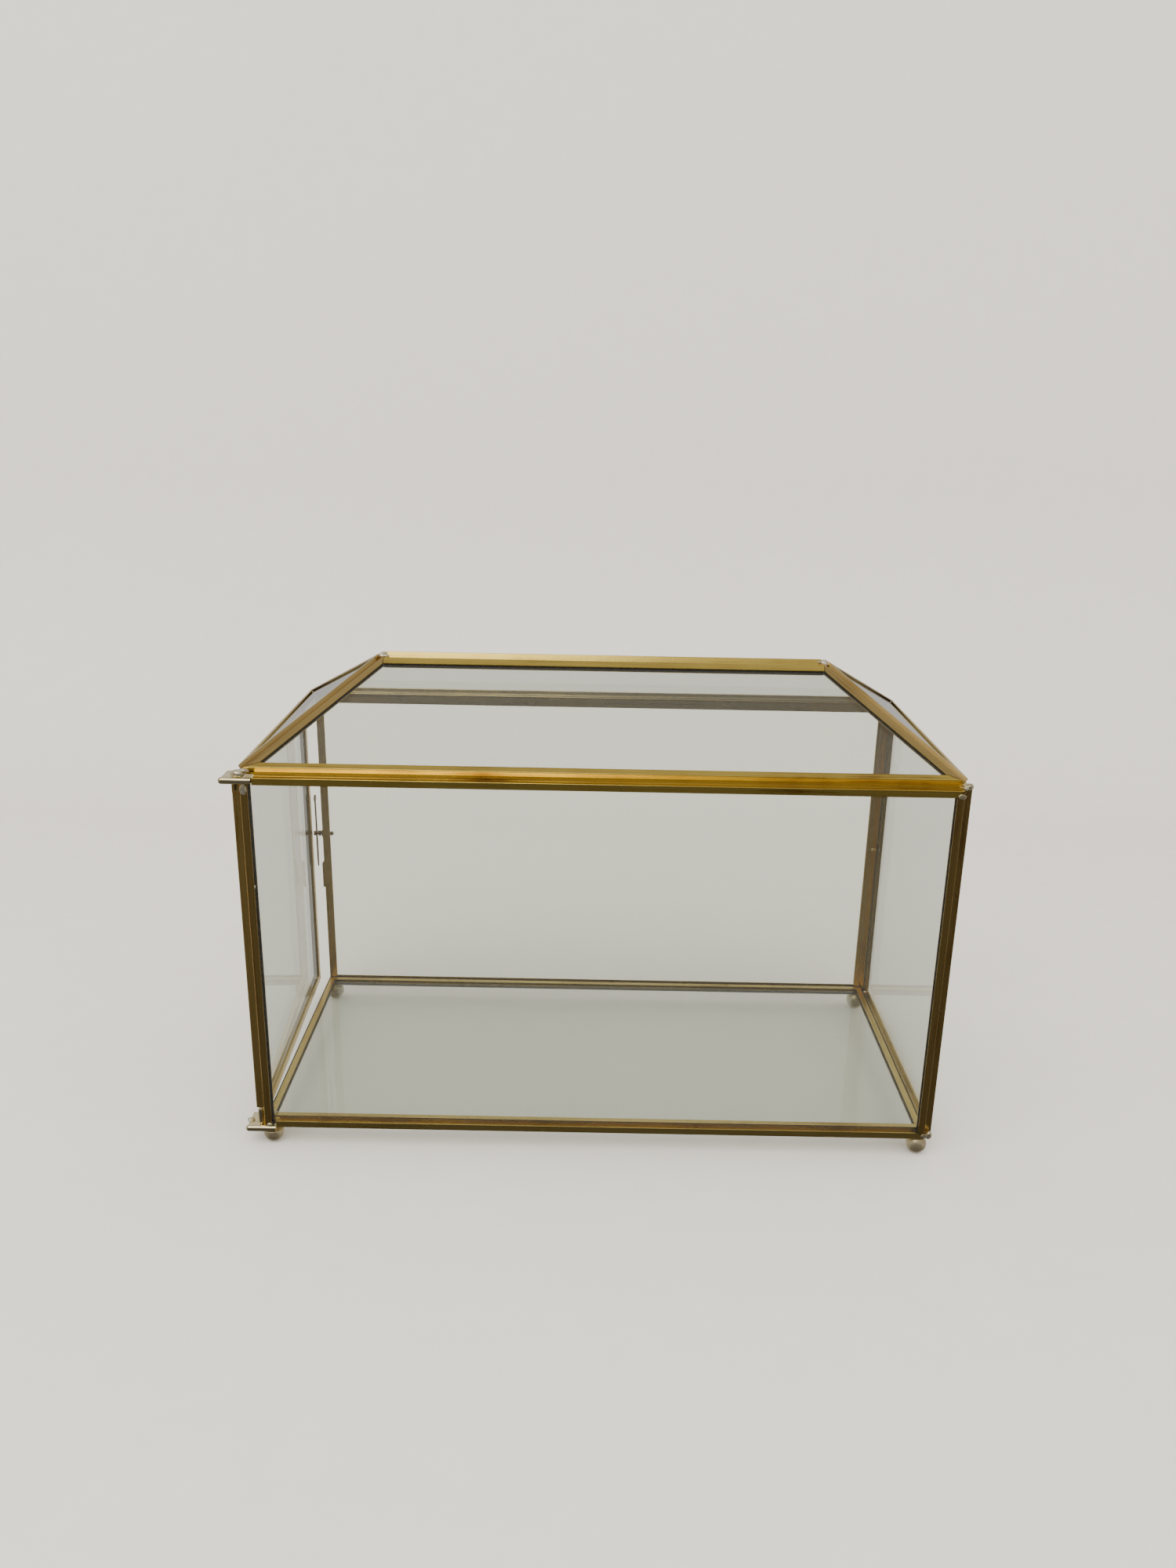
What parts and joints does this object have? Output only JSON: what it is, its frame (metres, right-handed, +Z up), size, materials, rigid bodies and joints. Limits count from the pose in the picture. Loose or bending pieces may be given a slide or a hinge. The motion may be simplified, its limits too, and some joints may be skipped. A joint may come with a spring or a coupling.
{
  "type": "display case",
  "caption": "Hip-roofed display case of brass came and clear glass on ball feet, with a hinged glass door closing one end and a turn button to hold it shut.",
  "frame": {"origin": "middle of the overall footprint, at the level the feet stand on", "axes": "+X along the width towards the closed right end, +Y towards the rear, +Z up; the door is at the -X end"},
  "size_m": [0.3148, 0.1504, 0.2169],
  "materials": {
    "aged_brass": "aged, darkened, satin",
    "bright_brass": "worn bright, semi-polished",
    "solder": "brass-tinted solder, lumpy and semi-polished",
    "clear_glass": "clear, flat, polished"
  },
  "bodies": {
    "case": {"base_rail_front": "aged_brass", "base_rail_left": "aged_brass", "base_rail_rear": "aged_brass", "base_rail_right": "aged_brass", "corner_post_front_left": "aged_brass", "corner_post_front_right": "aged_brass", "corner_post_rear_left": "aged_brass", "corner_post_rear_right": "aged_brass", "door_stop_tab": "aged_brass", "eave_rail_front": "aged_brass", "eave_rail_left": "aged_brass", "eave_rail_rear": "aged_brass", "eave_rail_right": "aged_brass", "foot_front_left": "bright_brass", "foot_front_right": "bright_brass", "foot_rear_left": "bright_brass", "foot_rear_right": "bright_brass", "glass_floor": "clear_glass", "glass_front": "clear_glass", "glass_rear": "clear_glass", "glass_right": "clear_glass", "glass_roof_front": "clear_glass", "glass_roof_left": "clear_glass", "glass_roof_rear": "clear_glass", "glass_roof_right": "clear_glass", "hinge_plate_bottom": "bright_brass", "hinge_plate_top": "bright_brass", "hip_rail_front_left": "aged_brass", "hip_rail_front_right": "aged_brass", "hip_rail_rear_left": "aged_brass", "hip_rail_rear_right": "aged_brass", "latch_rod": "bright_brass", "latch_washer": "bright_brass", "ridge_rail": "aged_brass", "solder_base_front_left": "solder", "solder_base_front_right": "solder", "solder_base_rear_right": "solder", "solder_eave_front_left": "solder", "solder_eave_front_right": "solder", "solder_eave_rear_left": "solder", "solder_eave_rear_right": "solder", "solder_ridge_left": "solder", "solder_ridge_right": "solder"},
    "door": {"door_glass": "clear_glass", "door_rail_bottom": "aged_brass", "door_rail_top": "aged_brass", "door_stile_hinge": "aged_brass", "door_stile_latch": "aged_brass", "pivot_pin_bottom": "bright_brass", "pivot_pin_top": "bright_brass"},
    "button": {"turn_button": "bright_brass"}
  },
  "joints": [
    {"name": "door_hinge", "type": "hinge", "parent": "case", "child": "door", "pos_m": [-0.15055, -0.0719, 0.09], "axis": [0, 0, 1], "range_deg": [-2.1, 170]},
    {"name": "button_pivot", "type": "hinge", "parent": "case", "child": "button", "pos_m": [-0.15274, 0.0732, 0.09752], "axis": [1, 0, 0], "range_deg": [-95, 95]}
  ]
}
